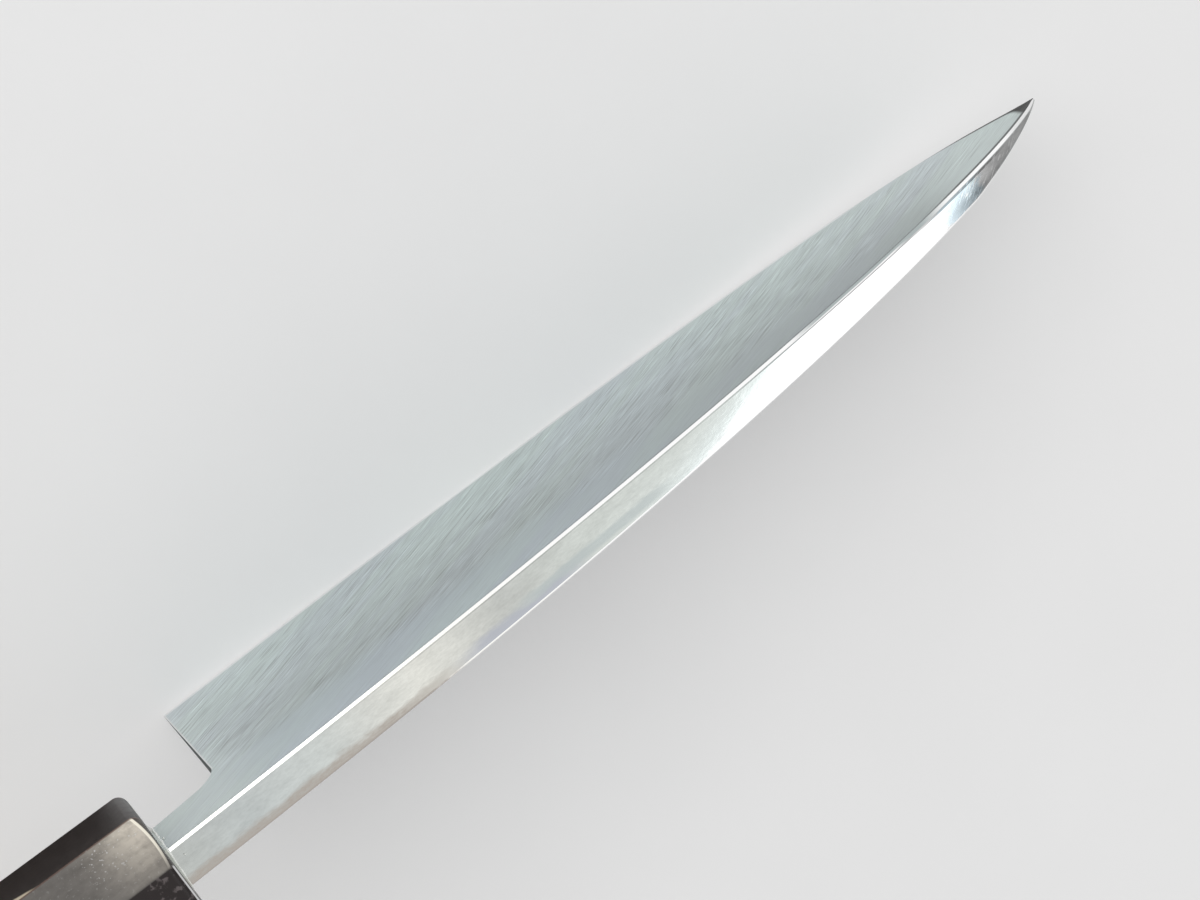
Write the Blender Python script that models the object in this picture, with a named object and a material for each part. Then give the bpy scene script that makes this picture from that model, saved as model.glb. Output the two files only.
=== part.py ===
"""A deba, the heavy single-bevel kitchen knife for fish, as separate solids.

Metres, +Z up, the cutting edge down and the tip towards +X. The hollow back of the blade
faces +Y and the bevelled front faces -Y. The shapes are drawn in the handle's own frame,
which starts at the centre of the ferrule's front face, and an empty moves the whole knife
so that the middle of its box stands on the floor at the origin.
"""
import math

import bmesh
import bpy
import numpy as np
from mathutils import Matrix

# Driving dimensions of the blade
BLADE_LENGTH = 0.165          # heel corner to tip, along the handle's line
NECK_LENGTH = 0.01195         # ferrule to heel
SPINE_OVER_AXIS = 0.0038      # spine above the handle's axis at the ferrule
HEEL_UNDER_AXIS = 0.0504      # heel corner below the handle's axis
TIP_UNDER_AXIS = 0.0357       # tip below the handle's axis
SPINE_THICKNESS = 0.0065      # at the neck
TAPER_START = 0.031           # from the ferrule to where the blade begins to get thinner
DISTAL_TAPER = 0.138          # thickness lost over a metre squared of length beyond that
SIDE_TAPER = 0.0175           # thickness lost per metre of height, below the spine's start
EDGE_THICKNESS = 0.0003       # width of the cutting edge's land
BEVEL_SLOPE_AT_HEEL = 0.25    # thickness gained per unit of height above the edge
BEVEL_SLOPE_AT_TIP = 0.15
SPINE_CHAMFER = 0.0005

# How the two outlines leave the neck or heel and arrive at the tip
SPINE_START_FALL = math.radians(3.5)
SPINE_START_SHARE = 0.78      # share of the run that the first control arm spans
SPINE_TIP_FALL = math.radians(51.0)
SPINE_TIP_ARM = 0.0115
EDGE_START_FALL = math.radians(2.2)
EDGE_START_SHARE = 0.91
EDGE_TIP_RISE = math.radians(21.0)
EDGE_TIP_ARM = 0.014

# The hollow ground into the back, and the flat rim that is left round it
HOLLOW_DEPTH = 0.00035
HOLLOW_RIM = 0.0012
HOLLOW_START = 0.004          # from the heel to where the hollow begins
HOLLOW_RUN_IN = 0.012         # length over which it reaches its depth
HOLLOW_RUN_OUT = 0.027        # height of blade under which it gets shallower, towards the tip
HOLLOW_STEPS = 6

# The notch between heel and ferrule
NECK_HEIGHT = 0.0121          # at the ferrule
NECK_FALL = math.radians(10.0)
NOTCH_RADIUS = 0.005
NOTCH_STEPS = 8
HEEL_LEAN = math.radians(0.7)  # of the heel's end face, towards the tip as it rises

# The hard steel that is forge-welded to the softer body, on the back side
STEEL_AT_SPINE = 0.0013       # its thickness at the handle's axis
STEEL_FLARE = 0.018           # thickness gained per metre of height, towards the edge
STEEL_START = 0.003           # from the ferrule to where it begins

# The tang
NECK_IN_FERRULE = 0.004
TANG_LENGTH = 0.085
TANG_FRONT_HEIGHT = 0.0088
TANG_FRONT_THICKNESS = 0.0054
TANG_END_HEIGHT = 0.005
TANG_END_THICKNESS = 0.0032
TANG_UNDER_AXIS = 0.0008      # centre of the tang below the handle's axis
TANG_OVERLAP = 0.003          # how far the tang's bar reaches into the neck

# The handle
HANDLE_LENGTH = 0.138
FERRULE_LENGTH = 0.028
FRONT_WIDTH = 0.0222
FRONT_HEIGHT = 0.0300
BUTT_WIDTH = 0.0252
BUTT_HEIGHT = 0.0330
FERRULE_EDGE_RADIUS = 0.0016
FERRULE_WALL = 0.006          # solid horn in front of the bore
BORE_DIAMETER = 0.016
BUTT_EDGE_RADIUS = 0.0012

# The bedding that fills the space round the tang
BEDDING_WALL = 0.0006
BEAD_HEIGHT = 0.0004          # how far it stands out of the ferrule, against the neck

FIT_GAP = 0.0003              # between two solids that touch on the real knife

# Where the blade gets low, near the tip, these details keep a share of its size
CHAMFER_SHARE = 0.25
RIM_SHARE = 0.2
RIDGE_SHARE = 0.7
TIP_BLUNT = 0.0005            # height of the small end face at the tip

# How finely the curves are cut into flat faces
SIDES = 8
STATIONS = 34
CURVE_SAMPLES = 400
BORE_SEGMENTS = 48
ROUND_SEGMENTS = 3
CREASE_ANGLE = math.radians(8.0)
MERGE_DISTANCE = 1e-6

HEEL_X = NECK_LENGTH
TIP_X = HEEL_X + BLADE_LENGTH
BACK_Y = SPINE_THICKNESS / 2
OCTAGON_REACH = 1 / math.cos(math.pi / SIDES)


def bezier(start, start_arm, end_arm, end):
    """Points along a cubic curve in the XZ plane, as an array with one row for each."""
    t = np.linspace(0.0, 1.0, CURVE_SAMPLES)[:, None]
    points = [np.array(p) for p in (start, start_arm, end_arm, end)]
    return ((1 - t) ** 3 * points[0] + 3 * (1 - t) ** 2 * t * points[1]
            + 3 * (1 - t) * t ** 2 * points[2] + t ** 3 * points[3])


def spine_curve():
    start = (0.0, SPINE_OVER_AXIS)
    arm = SPINE_START_SHARE * TIP_X
    tip = (TIP_X, TIP_BLUNT - TIP_UNDER_AXIS)
    start_arm = (arm * math.cos(SPINE_START_FALL), SPINE_OVER_AXIS - arm * math.sin(SPINE_START_FALL))
    end_arm = (tip[0] - SPINE_TIP_ARM * math.cos(SPINE_TIP_FALL),
               tip[1] + SPINE_TIP_ARM * math.sin(SPINE_TIP_FALL))
    return bezier(start, start_arm, end_arm, tip)


def edge_curve():
    start = (HEEL_X, -HEEL_UNDER_AXIS)
    arm = EDGE_START_SHARE * BLADE_LENGTH
    tip = (TIP_X, -TIP_UNDER_AXIS)
    start_arm = (start[0] + arm * math.cos(EDGE_START_FALL), start[1] - arm * math.sin(EDGE_START_FALL))
    end_arm = (tip[0] - EDGE_TIP_ARM * math.cos(EDGE_TIP_RISE), tip[1] - EDGE_TIP_ARM * math.sin(EDGE_TIP_RISE))
    return bezier(start, start_arm, end_arm, tip)


SPINE = spine_curve()
EDGE = edge_curve()


def spine_height(x):
    """Height of the spine above the handle's axis. Behind the ferrule's face it runs level."""
    return float(np.interp(x, SPINE[:, 0], SPINE[:, 1]))


def edge_height(x):
    """Height of the cutting edge. Behind the heel it runs level, for the notch to cut away."""
    return float(np.interp(x, EDGE[:, 0], EDGE[:, 1]))


def flat_thickness(x, z):
    """Thickness between the flat back and the flat front face above the bevel."""
    thinned = DISTAL_TAPER * max(0.0, x - TAPER_START) ** 2
    return SPINE_THICKNESS - thinned + SIDE_TAPER * (z - SPINE_OVER_AXIS)


def bevel_slope(x):
    """The bevel gets slimmer from the heel to the tip."""
    share = (x - HEEL_X) / BLADE_LENGTH
    return BEVEL_SLOPE_AT_HEEL + share * (BEVEL_SLOPE_AT_TIP - BEVEL_SLOPE_AT_HEEL)


def thickness(x, z):
    """Thickness of the blade, with the bevel that runs down to the edge."""
    return min(flat_thickness(x, z), EDGE_THICKNESS + bevel_slope(x) * (z - edge_height(x)))


def bevel_top(x):
    """Height where the bevel meets the flat front face."""
    edge = edge_height(x)
    at_edge = flat_thickness(x, edge)
    return edge + (at_edge - EDGE_THICKNESS) / (bevel_slope(x) - SIDE_TAPER)


def hollow_depth(x):
    """Depth of the hollow in the back, which runs in from the heel and out at the tip."""
    run_in = (x - HEEL_X - HOLLOW_START) / HOLLOW_RUN_IN
    height = spine_height(x) - edge_height(x) - 2 * HOLLOW_RIM
    run_out = height / HOLLOW_RUN_OUT
    return HOLLOW_DEPTH * min(1.0, max(0.0, run_in)) * min(1.0, max(0.0, run_out))


def blade_section(x):
    """One ring of points round the blade: up the back, over the spine and down the front."""
    low = edge_height(x)
    top = spine_height(x)
    top_thickness = thickness(x, top)
    chamfer = min(SPINE_CHAMFER, CHAMFER_SHARE * top_thickness, CHAMFER_SHARE * (top - low))
    rim = min(HOLLOW_RIM, RIM_SHARE * (top - low))
    hollow_low = low + rim
    hollow_high = top - chamfer - rim
    depth = hollow_depth(x)
    ring = [(BACK_Y, low)]
    for i in range(HOLLOW_STEPS + 1):
        share = i / HOLLOW_STEPS
        z = hollow_low + share * (hollow_high - hollow_low)
        ring.append((BACK_Y - 4 * depth * share * (1 - share), z))
    ring.append((BACK_Y, top - chamfer))
    ring.append((BACK_Y - chamfer, top))
    ring.append((BACK_Y - top_thickness + chamfer, top))
    front_top = top - chamfer
    ring.append((BACK_Y - thickness(x, front_top), front_top))
    ridge = min(bevel_top(x), low + RIDGE_SHARE * (front_top - low))
    ring.append((BACK_Y - thickness(x, ridge), ridge))
    ring.append((BACK_Y - EDGE_THICKNESS, low))
    return [(x, y, z) for y, z in ring]


def box_section(x, half_width, low, high):
    """One ring of four points: a rectangle square to the handle's axis."""
    return [(x, half_width, low), (x, half_width, high), (x, -half_width, high), (x, -half_width, low)]


def tang_section(x, grow):
    """The tang's rectangle at x, larger by grow on every side."""
    share = (-NECK_IN_FERRULE - x) / (TANG_LENGTH - NECK_IN_FERRULE)
    share = min(1.0, max(0.0, share))
    height = TANG_FRONT_HEIGHT + share * (TANG_END_HEIGHT - TANG_FRONT_HEIGHT)
    width = TANG_FRONT_THICKNESS + share * (TANG_END_THICKNESS - TANG_FRONT_THICKNESS)
    return box_section(x, width / 2 + grow, -TANG_UNDER_AXIS - height / 2 - grow,
                       -TANG_UNDER_AXIS + height / 2 + grow)


def neck_section(x, grow):
    """The neck's rectangle at the ferrule, larger by grow on every side."""
    low = SPINE_OVER_AXIS - NECK_HEIGHT
    return box_section(x, SPINE_THICKNESS / 2 + grow, low - grow, SPINE_OVER_AXIS + grow)


def new_object(name, mesh, collection):
    obj = bpy.data.objects.new(name, mesh)
    collection.objects.link(obj)
    obj.parent = knife
    return obj


def mesh_from(bm, name):
    bmesh.ops.recalc_face_normals(bm, faces=bm.faces)
    mesh = bpy.data.meshes.new(name)
    bm.to_mesh(mesh)
    bm.free()
    return mesh


def loft(name, rings, collection):
    """A closed solid through rings that all have the same number of points."""
    bm = bmesh.new()
    rows = [[bm.verts.new(point) for point in ring] for ring in rings]
    for near, far in zip(rows, rows[1:]):
        for i in range(len(near)):
            j = (i + 1) % len(near)
            bm.faces.new((near[i], near[j], far[j], far[i]))
    bm.faces.new(rows[0])
    bm.faces.new(rows[-1])
    return new_object(name, mesh_from(bm, name), collection)


def flat_prism(name, outline, half_width, collection):
    """A solid of one outline in the XZ plane, as wide as twice half_width along Y."""
    curve = bpy.data.curves.new(name, "CURVE")
    curve.dimensions = "2D"
    curve.fill_mode = "BOTH"
    curve.extrude = half_width
    spline = curve.splines.new("POLY")
    spline.points.add(len(outline) - 1)
    for point, (x, z) in zip(spline.points, outline):
        point.co = (x, z, 0.0, 1.0)
    spline.use_cyclic_u = True
    drawn = bpy.data.objects.new(name, curve)
    collection.objects.link(drawn)
    bpy.context.view_layer.update()
    mesh = bpy.data.meshes.new_from_object(drawn.evaluated_get(bpy.context.evaluated_depsgraph_get()))
    bpy.data.objects.remove(drawn)
    bm = bmesh.new()
    bm.from_mesh(mesh)
    bpy.data.meshes.remove(mesh)
    bmesh.ops.remove_doubles(bm, verts=bm.verts, dist=MERGE_DISTANCE)
    bmesh.ops.transform(bm, matrix=Matrix.Rotation(math.pi / 2, 4, "X"), verts=bm.verts)
    return new_object(name, mesh_from(bm, name), collection)


def handle_width(x):
    return FRONT_WIDTH + (BUTT_WIDTH - FRONT_WIDTH) * -x / HANDLE_LENGTH


def handle_height(x):
    return FRONT_HEIGHT + (BUTT_HEIGHT - FRONT_HEIGHT) * -x / HANDLE_LENGTH


def octagon_bar(name, back, front, round_back, round_front, collection):
    """A tapered eight-sided bar along X, with the rim at either end rounded."""
    bm = bmesh.new()
    bmesh.ops.create_cone(bm, cap_ends=True, segments=SIDES, radius1=0.5, radius2=0.5, depth=front - back)
    turn = Matrix.Rotation(math.pi / 2, 4, "Y") @ Matrix.Rotation(math.pi / SIDES, 4, "Z")
    bmesh.ops.transform(bm, matrix=turn, verts=bm.verts)
    for vert in bm.verts:
        vert.co.x += (front + back) / 2
        vert.co.y *= handle_width(vert.co.x) * OCTAGON_REACH
        vert.co.z *= handle_height(vert.co.x) * OCTAGON_REACH
    for end, radius in ((back, round_back), (front, round_front)):
        if radius:
            rim = [edge for edge in bm.edges
                   if all(abs(vert.co.x - end) < MERGE_DISTANCE for vert in edge.verts)]
            bmesh.ops.bevel(bm, geom=rim, offset=radius, segments=ROUND_SEGMENTS, profile=0.5,
                            affect="EDGES")
    return new_object(name, mesh_from(bm, name), collection)


def round_bar(name, back, front, diameter, collection):
    bm = bmesh.new()
    bmesh.ops.create_cone(bm, cap_ends=True, segments=BORE_SEGMENTS, radius1=diameter / 2,
                          radius2=diameter / 2, depth=front - back)
    bmesh.ops.transform(bm, matrix=Matrix.Rotation(math.pi / 2, 4, "Y"), verts=bm.verts)
    bmesh.ops.translate(bm, vec=((front + back) / 2, 0, 0), verts=bm.verts)
    return new_object(name, mesh_from(bm, name), collection)


def boolean(obj, operation, cutter):
    modifier = obj.modifiers.new(cutter.name, "BOOLEAN")
    modifier.operation = operation
    modifier.solver = "EXACT"
    modifier.object = cutter


def finish(obj, name, color, metallic, roughness):
    """Give a part its material, and shade it smooth between its creases."""
    material = bpy.data.materials.new(name)
    material.use_nodes = True
    shader = material.node_tree.nodes["Principled BSDF"]
    shader.inputs["Base Color"].default_value = (*color, 1.0)
    shader.inputs["Metallic"].default_value = metallic
    shader.inputs["Roughness"].default_value = roughness
    obj.data.materials.append(material)
    obj.data.shade_smooth()
    obj.data.set_sharp_from_angle(angle=CREASE_ANGLE)


def blade_blank(name, collection):
    """The whole blade and neck as one block, before the notch is cut and the layers are parted."""
    shares = [math.sin(math.pi / 2 * i / STATIONS) for i in range(STATIONS + 1)]
    places = [-NECK_IN_FERRULE, 0.0, HEEL_X / 2, HEEL_X]
    places += [HEEL_X + HOLLOW_START * i / 2 for i in (1, 2)]
    places += [HEEL_X + HOLLOW_START + (BLADE_LENGTH - HOLLOW_START) * share for share in shares[1:]]
    places.append(float(EDGE[EDGE[:, 1].argmin(), 0]))  # the lowest point of the edge
    return loft(name, [blade_section(x) for x in sorted(places)], collection)


def notch_outline():
    """The waste behind the heel and under the neck, with the fillet between them."""
    back = -2 * NECK_IN_FERRULE
    below = -HEEL_UNDER_AXIS - NECK_HEIGHT
    neck_low = SPINE_OVER_AXIS - NECK_HEIGHT
    slope = math.tan(NECK_FALL)
    lean = math.tan(HEEL_LEAN)
    # The fillet's centre is one radius from the neck's line and one from the heel's
    fillet_low = neck_low - NOTCH_RADIUS / math.cos(NECK_FALL)
    centre_x = HEEL_X + lean * (HEEL_UNDER_AXIS + fillet_low) - NOTCH_RADIUS / math.cos(HEEL_LEAN)
    centre_x /= 1 + lean * slope
    centre_z = fillet_low - slope * centre_x
    outline = [(back, neck_low)]
    outline.append((0.0, neck_low))
    first = math.pi / 2 - NECK_FALL
    for i in range(NOTCH_STEPS + 1):
        angle = first + (-HEEL_LEAN - first) * i / NOTCH_STEPS
        outline.append((centre_x + NOTCH_RADIUS * math.cos(angle), centre_z + NOTCH_RADIUS * math.sin(angle)))
    outline.append((HEEL_X + lean * (HEEL_UNDER_AXIS + below), below))
    outline.append((back, below))
    return outline


def steel_region(name, grow, collection):
    """The space of the hard steel layer: everything on the back side of the weld plane."""
    high = SPINE_OVER_AXIS + NECK_HEIGHT
    low = -HEEL_UNDER_AXIS - NECK_HEIGHT
    weld = [(BACK_Y - STEEL_AT_SPINE - grow + STEEL_FLARE * z, z) for z in (low, high)]
    outer = BACK_Y + SPINE_THICKNESS
    rings = []
    for x in (STEEL_START - grow, TIP_X + NECK_LENGTH):
        rings.append([(x, outer, low), (x, outer, high), (x, weld[1][0], high), (x, weld[0][0], low)])
    return loft(name, rings, collection)


def build_blade():
    """The softer body with its neck and tang, and the hard steel layer on its back."""
    body = blade_blank("blade_cladding", parts)
    steel = blade_blank("edge_steel", parts)
    notch = flat_prism("notch_cutter", notch_outline(), 2 * SPINE_THICKNESS, cutters)
    tang_stations = (-TANG_LENGTH, -NECK_IN_FERRULE, TANG_OVERLAP - NECK_IN_FERRULE)
    tang = loft("tang_bar", [tang_section(x, 0.0) for x in tang_stations], cutters)
    boolean(body, "DIFFERENCE", notch)
    boolean(body, "UNION", tang)
    boolean(body, "DIFFERENCE", steel_region("weld_cutter", FIT_GAP / 2, cutters))
    boolean(steel, "DIFFERENCE", notch)
    boolean(steel, "INTERSECT", steel_region("steel_space", -FIT_GAP / 2, cutters))
    finish(body, "soft_iron", (0.56, 0.57, 0.57), 1.0, 0.28)
    finish(steel, "hard_steel", (0.60, 0.63, 0.65), 1.0, 0.34)


def build_ferrule():
    """The horn ferrule: a slot in front for the neck, and a blind bore behind for the tenon."""
    ferrule = octagon_bar("ferrule", -FERRULE_LENGTH, 0.0, 0.0, FERRULE_EDGE_RADIUS, parts)
    room = FIT_GAP + BEDDING_WALL + FIT_GAP
    slot = loft("slot_cutter", [neck_section(x, room) for x in (-FERRULE_WALL - FIT_GAP, FIT_GAP)], cutters)
    bore = round_bar("bore_cutter", -FERRULE_LENGTH - FIT_GAP, -FERRULE_WALL, BORE_DIAMETER, cutters)
    boolean(ferrule, "DIFFERENCE", slot)
    boolean(ferrule, "DIFFERENCE", bore)
    finish(ferrule, "horn", (0.035, 0.030, 0.028), 0.0, 0.18)


def build_grip():
    """The wooden grip: a round tenon into the ferrule, and a tapered pocket for the tang."""
    grip = octagon_bar("grip", -HANDLE_LENGTH, -FERRULE_LENGTH - FIT_GAP, BUTT_EDGE_RADIUS, 0.0, parts)
    tenon_front = -FERRULE_WALL - FIT_GAP
    tenon_back = -FERRULE_LENGTH - BORE_DIAMETER / 4
    tenon = round_bar("tenon", tenon_back, tenon_front, BORE_DIAMETER - 2 * FIT_GAP, cutters)
    room = FIT_GAP + BEDDING_WALL + FIT_GAP
    pocket_places = (-TANG_LENGTH - room, -NECK_IN_FERRULE)
    pocket = loft("pocket_cutter", [tang_section(x, room) for x in pocket_places], cutters)
    boolean(grip, "UNION", tenon)
    boolean(grip, "DIFFERENCE", pocket)
    finish(grip, "wood", (0.62, 0.47, 0.30), 0.0, 0.55)


def build_bedding():
    """The cured bedding round the neck and tang, which stands up as a bead at the neck."""
    fill = FIT_GAP + BEDDING_WALL
    rings = [neck_section(BEAD_HEIGHT, FIT_GAP + BEDDING_WALL / 3)]
    rings.append(neck_section(0.0, fill))
    rings.append(neck_section(-FERRULE_WALL, fill))
    rings.append(tang_section(-FERRULE_WALL, fill))
    rings.append(tang_section(-TANG_LENGTH - fill, fill))
    bedding = loft("tang_bedding", rings, parts)
    neck_end = -NECK_IN_FERRULE - FIT_GAP
    hollow = [neck_section(x, FIT_GAP) for x in (2 * BEAD_HEIGHT, neck_end)]
    hollow += [tang_section(x, FIT_GAP) for x in (neck_end, -TANG_LENGTH - FIT_GAP)]
    boolean(bedding, "DIFFERENCE", loft("tang_space", hollow, cutters))
    finish(bedding, "bedding", (0.55, 0.42, 0.22), 0.0, 0.25)


for stale in list(bpy.data.objects):
    bpy.data.objects.remove(stale)

parts = bpy.data.collections.new("deba_knife")
cutters = bpy.data.collections.new("deba_knife_cutters")
bpy.context.scene.collection.children.link(parts)
bpy.context.scene.collection.children.link(cutters)

# The empty puts the middle of the knife's box over the origin and its lowest point on the floor
knife = bpy.data.objects.new("deba_knife_frame", None)
parts.objects.link(knife)
knife.location = ((HANDLE_LENGTH - TIP_X) / 2, 0.0, -float(EDGE[:, 1].min()))

build_blade()
build_ferrule()
build_grip()
build_bedding()

for cutter in cutters.objects:
    cutter.hide_render = True
    cutter.display_type = "WIRE"
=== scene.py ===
"""The looks of a deba knife: its welded blade, horn ferrule, wooden grip and the resin at the neck.

Metres. The shapes are drawn in the knife's own frame, which starts at the middle of the
ferrule's front face, and each finished mesh is moved to where the CAD nodes say that this is.
"""
import math

import bmesh
import bpy
import numpy as np
from mathutils import Matrix, Quaternion, Vector, noise


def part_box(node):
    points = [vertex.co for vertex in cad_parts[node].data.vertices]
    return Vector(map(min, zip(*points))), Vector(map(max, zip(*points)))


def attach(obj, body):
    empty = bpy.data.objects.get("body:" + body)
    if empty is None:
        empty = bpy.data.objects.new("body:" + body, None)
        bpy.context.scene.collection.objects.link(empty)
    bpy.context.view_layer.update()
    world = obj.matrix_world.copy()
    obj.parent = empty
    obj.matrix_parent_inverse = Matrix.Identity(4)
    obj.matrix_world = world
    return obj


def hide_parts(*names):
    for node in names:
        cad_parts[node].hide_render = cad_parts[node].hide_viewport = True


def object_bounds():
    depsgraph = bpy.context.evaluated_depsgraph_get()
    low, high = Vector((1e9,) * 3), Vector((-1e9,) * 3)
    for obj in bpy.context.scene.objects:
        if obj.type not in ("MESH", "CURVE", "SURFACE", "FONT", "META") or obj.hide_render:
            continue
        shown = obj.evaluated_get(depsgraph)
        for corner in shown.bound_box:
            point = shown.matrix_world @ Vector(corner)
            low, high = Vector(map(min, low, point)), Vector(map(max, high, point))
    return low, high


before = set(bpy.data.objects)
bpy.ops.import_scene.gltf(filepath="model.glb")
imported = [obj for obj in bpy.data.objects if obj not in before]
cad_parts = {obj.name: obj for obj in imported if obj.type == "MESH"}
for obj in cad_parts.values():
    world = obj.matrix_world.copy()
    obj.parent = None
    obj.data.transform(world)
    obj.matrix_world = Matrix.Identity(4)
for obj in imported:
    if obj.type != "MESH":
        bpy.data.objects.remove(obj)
cad_low, cad_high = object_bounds()

# The blade
# Soft iron, forged with the neck and the tang in one piece, and a layer of hard steel that is
# forge-welded to its back and carries the edge. The two are ground together: a hollow back
# that meets the stone at its rim only, a flat front, and one long bevel down to the edge.
MM = 0.001
ferrule_low, ferrule_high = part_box("ferrule")
PLACE = Vector((ferrule_high[0], 0.0, (ferrule_low[2] + ferrule_high[2]) / 2))
BACK_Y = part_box("edge_steel")[1][1]
TIP_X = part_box("edge_steel")[1][0] - PLACE.x
NECK_LENGTH = 11.95 * MM
HEEL_DEPTH = 50.4 * MM
SPINE_HEIGHT = 3.8 * MM
TIP_DEPTH = 35.7 * MM
TIP_BLUNT = 0.5 * MM
SPINE_THICKNESS = 2 * BACK_Y
TAPER_START = 31.0 * MM
DISTAL_TAPER = 0.138
SIDE_TAPER = 0.0175
BEVEL_SLOPE_AT_HEEL, BEVEL_SLOPE_AT_TIP = 0.25, 0.15
EDGE_LAND = 0.3 * MM
EDGE_SHARP = 0.1 * MM
MICRO_BEVEL = 0.4 * MM
CHAMFER_WIDTH = 0.46 * MM
CHAMFER_DROP_BEHIND, CHAMFER_DROP_AHEAD = 0.22 * MM, 0.45 * MM
FAR_CORNER_RADIUS = 0.40 * MM
SPINE_CROWN = 0.05 * MM
HOLLOW_DEPTH = 0.35 * MM
HOLLOW_RIM = 1.2 * MM
HOLLOW_START = 4.0 * MM
HOLLOW_RUN_IN = 12.0 * MM
HOLLOW_RUN_OUT = 27.0 * MM
NECK_IN_FERRULE = 4.0 * MM
NECK_HEIGHT = 12.1 * MM
NECK_FALL = math.radians(10.0)
NOTCH_RADIUS = 5.0 * MM
HEEL_LEAN = math.radians(0.7)
NOTCH_EASE = 0.16 * MM
NOTCH_CORNER = math.radians(40.0)
STEEL_START = 3.0 * MM
STEEL_AT_AXIS = 1.3 * MM
STEEL_FLARE = 0.018
WELD_WAVE = 0.10 * MM
TANG_LENGTH = 85.0 * MM
TANG_AT_NECK, TANG_AT_END = (5.4 * MM, 8.8 * MM), (3.2 * MM, 5.0 * MM)
TANG_DROP = 0.8 * MM
BLADE_CREASE = math.radians(8.0)

# The arms of the curves along spine and edge, each as its length and its angle in degrees
SPINE_ARMS = ((0.78 * TIP_X, -3.5), (11.5 * MM, 129.0))
EDGE_ARMS = ((0.91 * (TIP_X - NECK_LENGTH), -2.2), (14.0 * MM, 201.0))

# Towards the tip these details shrink to a share of the thickness or the height left there
CHAMFER_SHARE, CROWN_SHARE, RADIUS_SHARE = 0.55, 0.1, 0.2
DROP_SHARE, RIM_SHARE, RIDGE_SHARE = 0.3, 0.2, 0.7

# Points on each stretch of a slice
HOLLOW_STEPS, SPINE_STEPS, CORNER_STEPS, FLAT_STEPS, BEVEL_STEPS = 25, 7, 13, 7, 13

# The surfaces of the blade, in the order of its material slots
BACK, CHAMFER, SPINE, FLAT, BEVEL, CUT_END, TANG = range(7)


def bezier(points, count=600):
    """A cubic curve through the XZ plane as an array of points."""
    t = np.linspace(0.0, 1.0, count)[:, None]
    a, b, c, d = (np.array(point) for point in points)
    return (1 - t) ** 3 * a + 3 * (1 - t) ** 2 * t * b + 3 * (1 - t) * t ** 2 * c + t ** 3 * d


def arm(point, length, degrees):
    """The point at that length and angle from another, for a curve's control arm."""
    angle = math.radians(degrees)
    return (point[0] + length * math.cos(angle), point[1] + length * math.sin(angle))


neck_top = (0.0, SPINE_HEIGHT)
heel = (NECK_LENGTH, -HEEL_DEPTH)
tip = (TIP_X, -TIP_DEPTH)
tip_top = (TIP_X, TIP_BLUNT - TIP_DEPTH)
spine_line = bezier([neck_top, arm(neck_top, *SPINE_ARMS[0]), arm(tip_top, *SPINE_ARMS[1]), tip_top])
edge_line = bezier([heel, arm(heel, *EDGE_ARMS[0]), arm(tip, *EDGE_ARMS[1]), tip])


def spine_at(x):
    return np.interp(x, spine_line[:, 0], spine_line[:, 1])


def edge_at(x):
    return np.interp(x, edge_line[:, 0], edge_line[:, 1])


def flat_thickness(x, z):
    """Thickness from the back to the front face's flat, as if there were no bevel."""
    thinned = DISTAL_TAPER * max(0.0, x - TAPER_START) ** 2
    return SPINE_THICKNESS - thinned + SIDE_TAPER * (z - SPINE_HEIGHT)


def bevel_slope(x):
    share = (x - NECK_LENGTH) / (TIP_X - NECK_LENGTH)
    return BEVEL_SLOPE_AT_HEEL + share * (BEVEL_SLOPE_AT_TIP - BEVEL_SLOPE_AT_HEEL)


def thickness(x, z):
    """Thickness of the blade, which the bevel takes down to the edge."""
    return min(flat_thickness(x, z), EDGE_LAND + bevel_slope(x) * (z - edge_at(x)))


def hollow_depth(x):
    """Depth of the hollow's middle, which starts ahead of the heel and runs out towards the tip."""
    run_in = (x - NECK_LENGTH - HOLLOW_START) / HOLLOW_RUN_IN
    run_out = (spine_at(x) - edge_at(x) - 2 * HOLLOW_RIM) / HOLLOW_RUN_OUT
    return HOLLOW_DEPTH * min(1.0, max(0.0, run_in)) * min(1.0, max(0.0, run_out))


def chamfer_drop(x):
    """The spine's near corner is broken more steeply towards the tip."""
    return np.interp(x, (110 * MM, 155 * MM), (CHAMFER_DROP_BEHIND, CHAMFER_DROP_AHEAD))


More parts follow.
